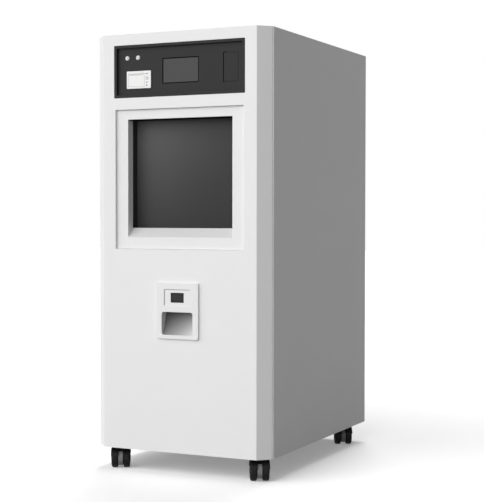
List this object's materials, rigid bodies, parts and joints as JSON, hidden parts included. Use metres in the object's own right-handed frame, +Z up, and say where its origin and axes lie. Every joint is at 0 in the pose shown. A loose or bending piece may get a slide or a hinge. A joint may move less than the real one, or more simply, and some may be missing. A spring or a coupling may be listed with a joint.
{
  "type": "plasma sterilizer",
  "caption": "Floor-standing low-temperature plasma sterilizer on casters, with a dark control panel, a deep door recess with a sliding door and a cassette drawer.",
  "frame": {"origin": "on the floor under the centre of the machine's bounding box", "axes": "+Z up, the front panel faces -Y, +X to the right seen from the front"},
  "size_m": [0.75, 1.064, 1.685],
  "materials": {
    "frame": "satin grey powder coat",
    "white_paint": "fine white powder coat",
    "grey_paint": "fine light grey powder coat",
    "white_plastic": "satin white moulding",
    "black_paint": "matt black",
    "dark_panel": "satin charcoal",
    "screen_glass": "dark grey screen, off",
    "printer_white": "light moulded plastic",
    "paper": "plain thermal paper",
    "button_grey": "light grey key",
    "black_plastic": "matt black",
    "vessel_aluminium": "machined and brushed",
    "seal_rubber": "smooth black rubber",
    "liner_aluminium": "perforated sheet, satin",
    "shelf_steel": "polished wire",
    "door_glass": "dark coated panel",
    "bracket_steel": "dark grey paint",
    "motor_paint": "blue grey enamel",
    "brass_block": "machined brass",
    "tubing": "milky plastic",
    "device_green": "grey green moulding",
    "rocker_red": "dark red rocker",
    "cassette_plastic": "pale yellow moulding",
    "caster_steel": "dark plated steel",
    "caster_wheel": "black polyurethane"
  },
  "bodies": {
    "cabinet": {"frame": "frame", "front_panel": "white_paint", "left_side_panel": "grey_paint", "right_side_panel": "grey_paint", "top_cover": "grey_paint", "rear_panel": "grey_paint", "door_surround": "white_plastic", "door_throat": "black_paint", "control_bezel": "dark_panel", "control_fascia": "dark_panel", "lcd_screen": "screen_glass", "hmi_housing": "dark_panel", "printer_body": "printer_white", "button_collars": "printer_white", "data_ports": "black_plastic", "chamber": "vessel_aluminium", "chamber_seal": "seal_rubber", "electrode_liner": "liner_aluminium", "wire_shelves": "shelf_steel", "door_rails": "shelf_steel", "drive_belts": "seal_rubber", "lift_bearings": "bracket_steel", "gearmotor": "motor_paint", "vacuum_pump": "motor_paint", "oil_mist_filter": "bracket_steel", "vacuum_line": "shelf_steel", "vaporizer": "brass_block", "dosing_unit": "tubing", "hepa_filter": "printer_white", "rf_unit": "grey_paint", "control_electronics": "device_green", "fan_frames": "black_plastic", "mains_inlet": "black_plastic", "cassette_housing": "tubing", "caster_plates": "caster_steel"},
    "lift_door": {"door_glass": "door_glass", "door_plate": "vessel_aluminium", "door_carriage": "bracket_steel"},
    "drive_shaft": {"drive_shaft": "shelf_steel"},
    "idler_shaft": {"idler_shaft": "shelf_steel"},
    "power_button": {"power_button": "button_grey"},
    "start_button": {"start_button": "button_grey"},
    "printer_door": {"printer_door": "printer_white"},
    "printer_button": {"printer_button": "button_grey"},
    "paper_roll": {"paper_roll": "paper"},
    "service_flap": {"service_flap": "dark_panel"},
    "cassette_drawer": {"drawer_front": "white_plastic", "drawer_window": "screen_glass", "cassette": "cassette_plastic"},
    "fan_left": {"fan_rotor_left": "black_plastic"},
    "fan_right": {"fan_rotor_right": "black_plastic"},
    "switch_rocker": {"switch_rocker": "rocker_red"},
    "caster_fl": {"caster_hood_fl": "black_plastic"},
    "wheels_fl": {"caster_wheels_fl": "caster_wheel"},
    "caster_fr": {"caster_hood_fr": "black_plastic"},
    "wheels_fr": {"caster_wheels_fr": "caster_wheel"},
    "caster_rl": {"caster_hood_rl": "black_plastic"},
    "wheels_rl": {"caster_wheels_rl": "caster_wheel"},
    "caster_rr": {"caster_hood_rr": "black_plastic"},
    "wheels_rr": {"caster_wheels_rr": "caster_wheel"}
  },
  "joints": [
    {"name": "door_slide", "type": "slide", "parent": "cabinet", "child": "lift_door", "axis": [0, 0, -1], "range_m": [0, 0.46]},
    {"name": "drive_turn", "type": "hinge", "parent": "cabinet", "child": "drive_shaft", "pos_m": [0, -0.426, 0.375], "axis": [1, 0, 0], "range_deg": [-2, 1327.8]},
    {"name": "idler_turn", "type": "hinge", "parent": "cabinet", "child": "idler_shaft", "pos_m": [0, -0.426, 1.425], "axis": [1, 0, 0], "range_deg": [-2, 1327.8]},
    {"name": "power_press", "type": "slide", "parent": "cabinet", "child": "power_button", "axis": [0, 1, 0], "range_m": [0, 0.003], "stiffness_N_per_m": 800, "springref_m": -0.001},
    {"name": "start_press", "type": "slide", "parent": "cabinet", "child": "start_button", "axis": [0, 1, 0], "range_m": [0, 0.003], "stiffness_N_per_m": 800, "springref_m": -0.001},
    {"name": "printer_door_hinge", "type": "hinge", "parent": "cabinet", "child": "printer_door", "pos_m": [-0.1855, -0.5128, 1.4862], "axis": [1, 0, 0], "range_deg": [0, 85]},
    {"name": "printer_press", "type": "slide", "parent": "cabinet", "child": "printer_button", "axis": [0, 1, 0], "range_m": [0, 0.0015], "stiffness_N_per_m": 600, "springref_m": -0.001},
    {"name": "paper_turn", "type": "hinge", "parent": "cabinet", "child": "paper_roll", "pos_m": [-0.1855, -0.487, 1.5043], "axis": [1, 0, 0], "continuous": true},
    {"name": "flap_hinge", "type": "hinge", "parent": "cabinet", "child": "service_flap", "pos_m": [0.2435, -0.508, 1.541], "axis": [0, 0, 1], "range_deg": [0, 90]},
    {"name": "drawer_slide", "type": "slide", "parent": "cabinet", "child": "cassette_drawer", "axis": [0, -1, 0], "range_m": [0, 0.045]},
    {"name": "fan_left_spin", "type": "hinge", "parent": "cabinet", "child": "fan_left", "pos_m": [-0.15, 0.4835, 1.555], "axis": [0, 1, 0], "continuous": true},
    {"name": "fan_right_spin", "type": "hinge", "parent": "cabinet", "child": "fan_right", "pos_m": [0.15, 0.4835, 1.555], "axis": [0, 1, 0], "continuous": true},
    {"name": "switch_rock", "type": "hinge", "parent": "cabinet", "child": "switch_rocker", "pos_m": [0.21, 0.501, 0.27], "axis": [1, 0, 0], "range_deg": [0, 18]},
    {"name": "swivel_fl", "type": "hinge", "parent": "cabinet", "child": "caster_fl", "pos_m": [-0.3, -0.439, 0.06], "axis": [0, 0, 1], "continuous": true},
    {"name": "roll_fl", "type": "hinge", "parent": "caster_fl", "child": "wheels_fl", "pos_m": [-0.28263, -0.47167, 0.0375], "axis": [0.8829, 0.4695, 0], "continuous": true},
    {"name": "swivel_fr", "type": "hinge", "parent": "cabinet", "child": "caster_fr", "pos_m": [0.3, -0.439, 0.06], "axis": [0, 0, 1], "continuous": true},
    {"name": "roll_fr", "type": "hinge", "parent": "caster_fr", "child": "wheels_fr", "pos_m": [0.31737, -0.47167, 0.0375], "axis": [0.8829, 0.4695, 0], "continuous": true},
    {"name": "swivel_rl", "type": "hinge", "parent": "cabinet", "child": "caster_rl", "pos_m": [-0.3, 0.423, 0.06], "axis": [0, 0, 1], "continuous": true},
    {"name": "roll_rl", "type": "hinge", "parent": "caster_rl", "child": "wheels_rl", "pos_m": [-0.28263, 0.39033, 0.0375], "axis": [0.8829, 0.4695, 0], "continuous": true},
    {"name": "swivel_rr", "type": "hinge", "parent": "cabinet", "child": "caster_rr", "pos_m": [0.3, 0.423, 0.06], "axis": [0, 0, 1], "continuous": true},
    {"name": "roll_rr", "type": "hinge", "parent": "caster_rr", "child": "wheels_rr", "pos_m": [0.31737, 0.39033, 0.0375], "axis": [0.8829, 0.4695, 0], "continuous": true}
  ],
  "couplings": [
    {"joint": "drive_turn", "follows": "door_slide", "rad_per_m": 50.266},
    {"joint": "idler_turn", "follows": "door_slide", "rad_per_m": 50.266}
  ]
}
